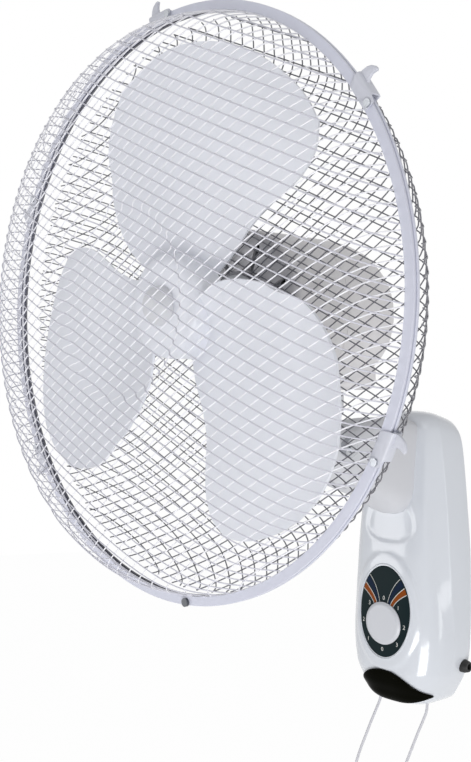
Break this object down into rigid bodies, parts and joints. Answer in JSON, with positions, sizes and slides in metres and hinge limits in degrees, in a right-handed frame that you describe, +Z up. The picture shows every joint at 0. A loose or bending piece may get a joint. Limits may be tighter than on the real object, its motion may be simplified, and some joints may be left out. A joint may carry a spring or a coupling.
{
  "type": "wall mounted fan",
  "caption": "White wall-mounted fan: round wire guard with clips, three blades, swinging and tilting motor head, glossy base with a speed dial and two pull cords.",
  "frame": {"origin": "middle of the wall plate's flat back, on the wall", "axes": "+Y into the wall, +Z up, the fan blows towards -Y"},
  "size_m": [0.44, 0.3596, 0.7399],
  "materials": {
    "steel_plate": "zinc-plated",
    "white_gloss": "glossy",
    "guard_white": "glossy coating",
    "white_plastic": "satin",
    "zinc_screws": "zinc-plated",
    "dial_dark": "satin",
    "knob_white": "satin",
    "window_black": "polished",
    "board_green": "matte",
    "light_plastic": "matte",
    "cord_white": "matte",
    "black_plastic": "matte",
    "arm_grey": "fine texture",
    "bright_steel": "polished",
    "brass_parts": "satin",
    "link_steel": "satin",
    "end_bell_aluminium": "cast",
    "core_steel": "dull",
    "winding_enamel": "enamelled",
    "motor_cover": "satin",
    "blade_lilac": "satin",
    "clip_grey": "satin"
  },
  "bodies": {
    "base": {"wall_plate": "steel_plate", "base_housing": "white_gloss", "housing_screw_left": "zinc_screws", "housing_screw_right": "zinc_screws", "dial_bezel": "white_gloss", "dial_panel": "dial_dark", "speed_switch": "light_plastic", "window_lens": "window_black", "control_board": "board_green", "cord_eyelet_left": "light_plastic", "cord_eyelet_right": "light_plastic", "pull_switch_left": "light_plastic", "pull_switch_right": "light_plastic", "terminal_block": "light_plastic", "run_capacitor": "light_plastic", "cable_gland": "black_plastic", "neck_arm": "arm_grey", "tilt_pin": "bright_steel", "tilt_nut": "bright_steel"},
    "knob": {"speed_knob": "knob_white"},
    "left_pull": {"pull_cord_left": "cord_white", "pull_knob_left": "white_gloss"},
    "right_pull": {"pull_cord_right": "cord_white", "pull_knob_right": "white_gloss"},
    "post": {"swivel_post": "arm_grey", "swivel_bush": "brass_parts"},
    "head": {"front_end_bell": "end_bell_aluminium", "rear_end_bell": "end_bell_aluminium", "swivel_shaft": "bright_steel", "stator_core": "core_steel", "stator_winding_front": "winding_enamel", "stator_winding_rear": "winding_enamel", "front_bearing": "bright_steel", "rear_bearing": "bright_steel", "motor_front_cover": "motor_cover", "motor_rear_cover": "motor_cover", "swing_gearbox": "black_plastic", "front_guard": "guard_white", "rear_guard": "guard_white", "guard_nut": "white_plastic", "front_ring": "guard_white", "rear_ring": "guard_white", "ring_screw": "zinc_screws", "ring_nut": "zinc_screws", "clip_rivet_1": "bright_steel", "clip_rivet_2": "bright_steel", "clip_rivet_3": "bright_steel", "clip_rivet_4": "bright_steel", "clip_rivet_5": "bright_steel"},
    "crank": {"swing_crank": "brass_parts"},
    "link": {"swing_link": "link_steel"},
    "rotor": {"motor_shaft": "bright_steel", "rotor_core": "core_steel", "fan_blades": "blade_lilac", "blade_nut": "white_plastic"},
    "latch_1": {"clip_1": "clip_grey"},
    "latch_2": {"clip_2": "clip_grey"},
    "latch_3": {"clip_3": "clip_grey"},
    "latch_4": {"clip_4": "clip_grey"},
    "latch_5": {"clip_5": "clip_grey"}
  },
  "joints": [
    {"name": "speed_dial", "type": "hinge", "parent": "base", "child": "knob", "pos_m": [0, -0.06, -0.06], "axis": [0, 1, 0], "range_deg": [0, 270]},
    {"name": "left_cord_pull", "type": "slide", "parent": "base", "child": "left_pull", "axis": [0, 0, -1], "range_m": [0, 0.008], "stiffness_N_per_m": 600},
    {"name": "right_cord_pull", "type": "slide", "parent": "base", "child": "right_pull", "axis": [0, 0, -1], "range_m": [0, 0.008], "stiffness_N_per_m": 600},
    {"name": "head_tilt", "type": "hinge", "parent": "base", "child": "post", "pos_m": [0, -0.138, 0.104], "axis": [1, 0, 0], "range_deg": [-15, 20]},
    {"name": "head_swing", "type": "hinge", "parent": "post", "child": "head", "pos_m": [0, -0.138, 0.14], "axis": [0, 0, 1], "range_deg": [-35, 35]},
    {"name": "fan_spin", "type": "hinge", "parent": "head", "child": "rotor", "pos_m": [0, -0.3, 0.215], "axis": [0, 1, 0], "continuous": true},
    {"name": "crank_turn", "type": "hinge", "parent": "head", "child": "crank", "pos_m": [0.00597, -0.114, 0.16], "axis": [0, 0, 1], "range_deg": [-90, 90]},
    {"name": "link_turn", "type": "hinge", "parent": "post", "child": "link", "pos_m": [0.014, -0.138, 0.156], "axis": [0, 0, 1], "range_deg": [-35, 35]},
    {"name": "latch_1_turn", "type": "hinge", "parent": "head", "child": "latch_1", "pos_m": [-0.00515, -0.3, 0.43197], "axis": [0, 1, 0], "range_deg": [0, 60]},
    {"name": "latch_2_turn", "type": "hinge", "parent": "head", "child": "latch_2", "pos_m": [0.18533, -0.3, 0.32794], "axis": [0, 1, 0], "range_deg": [0, 60]},
    {"name": "latch_3_turn", "type": "hinge", "parent": "head", "child": "latch_3", "pos_m": [0.19048, -0.3, 0.11097], "axis": [0, 1, 0], "range_deg": [0, 60]},
    {"name": "latch_4_turn", "type": "hinge", "parent": "head", "child": "latch_4", "pos_m": [-0.18533, -0.3, 0.10206], "axis": [0, 1, 0], "range_deg": [0, 60]},
    {"name": "latch_5_turn", "type": "hinge", "parent": "head", "child": "latch_5", "pos_m": [-0.19048, -0.3, 0.31903], "axis": [0, 1, 0], "range_deg": [0, 60]}
  ],
  "couplings": [
    {"joint": "crank_turn", "follows": "head_swing", "ratio": -2.5714},
    {"joint": "link_turn", "follows": "head_swing", "ratio": 1}
  ]
}
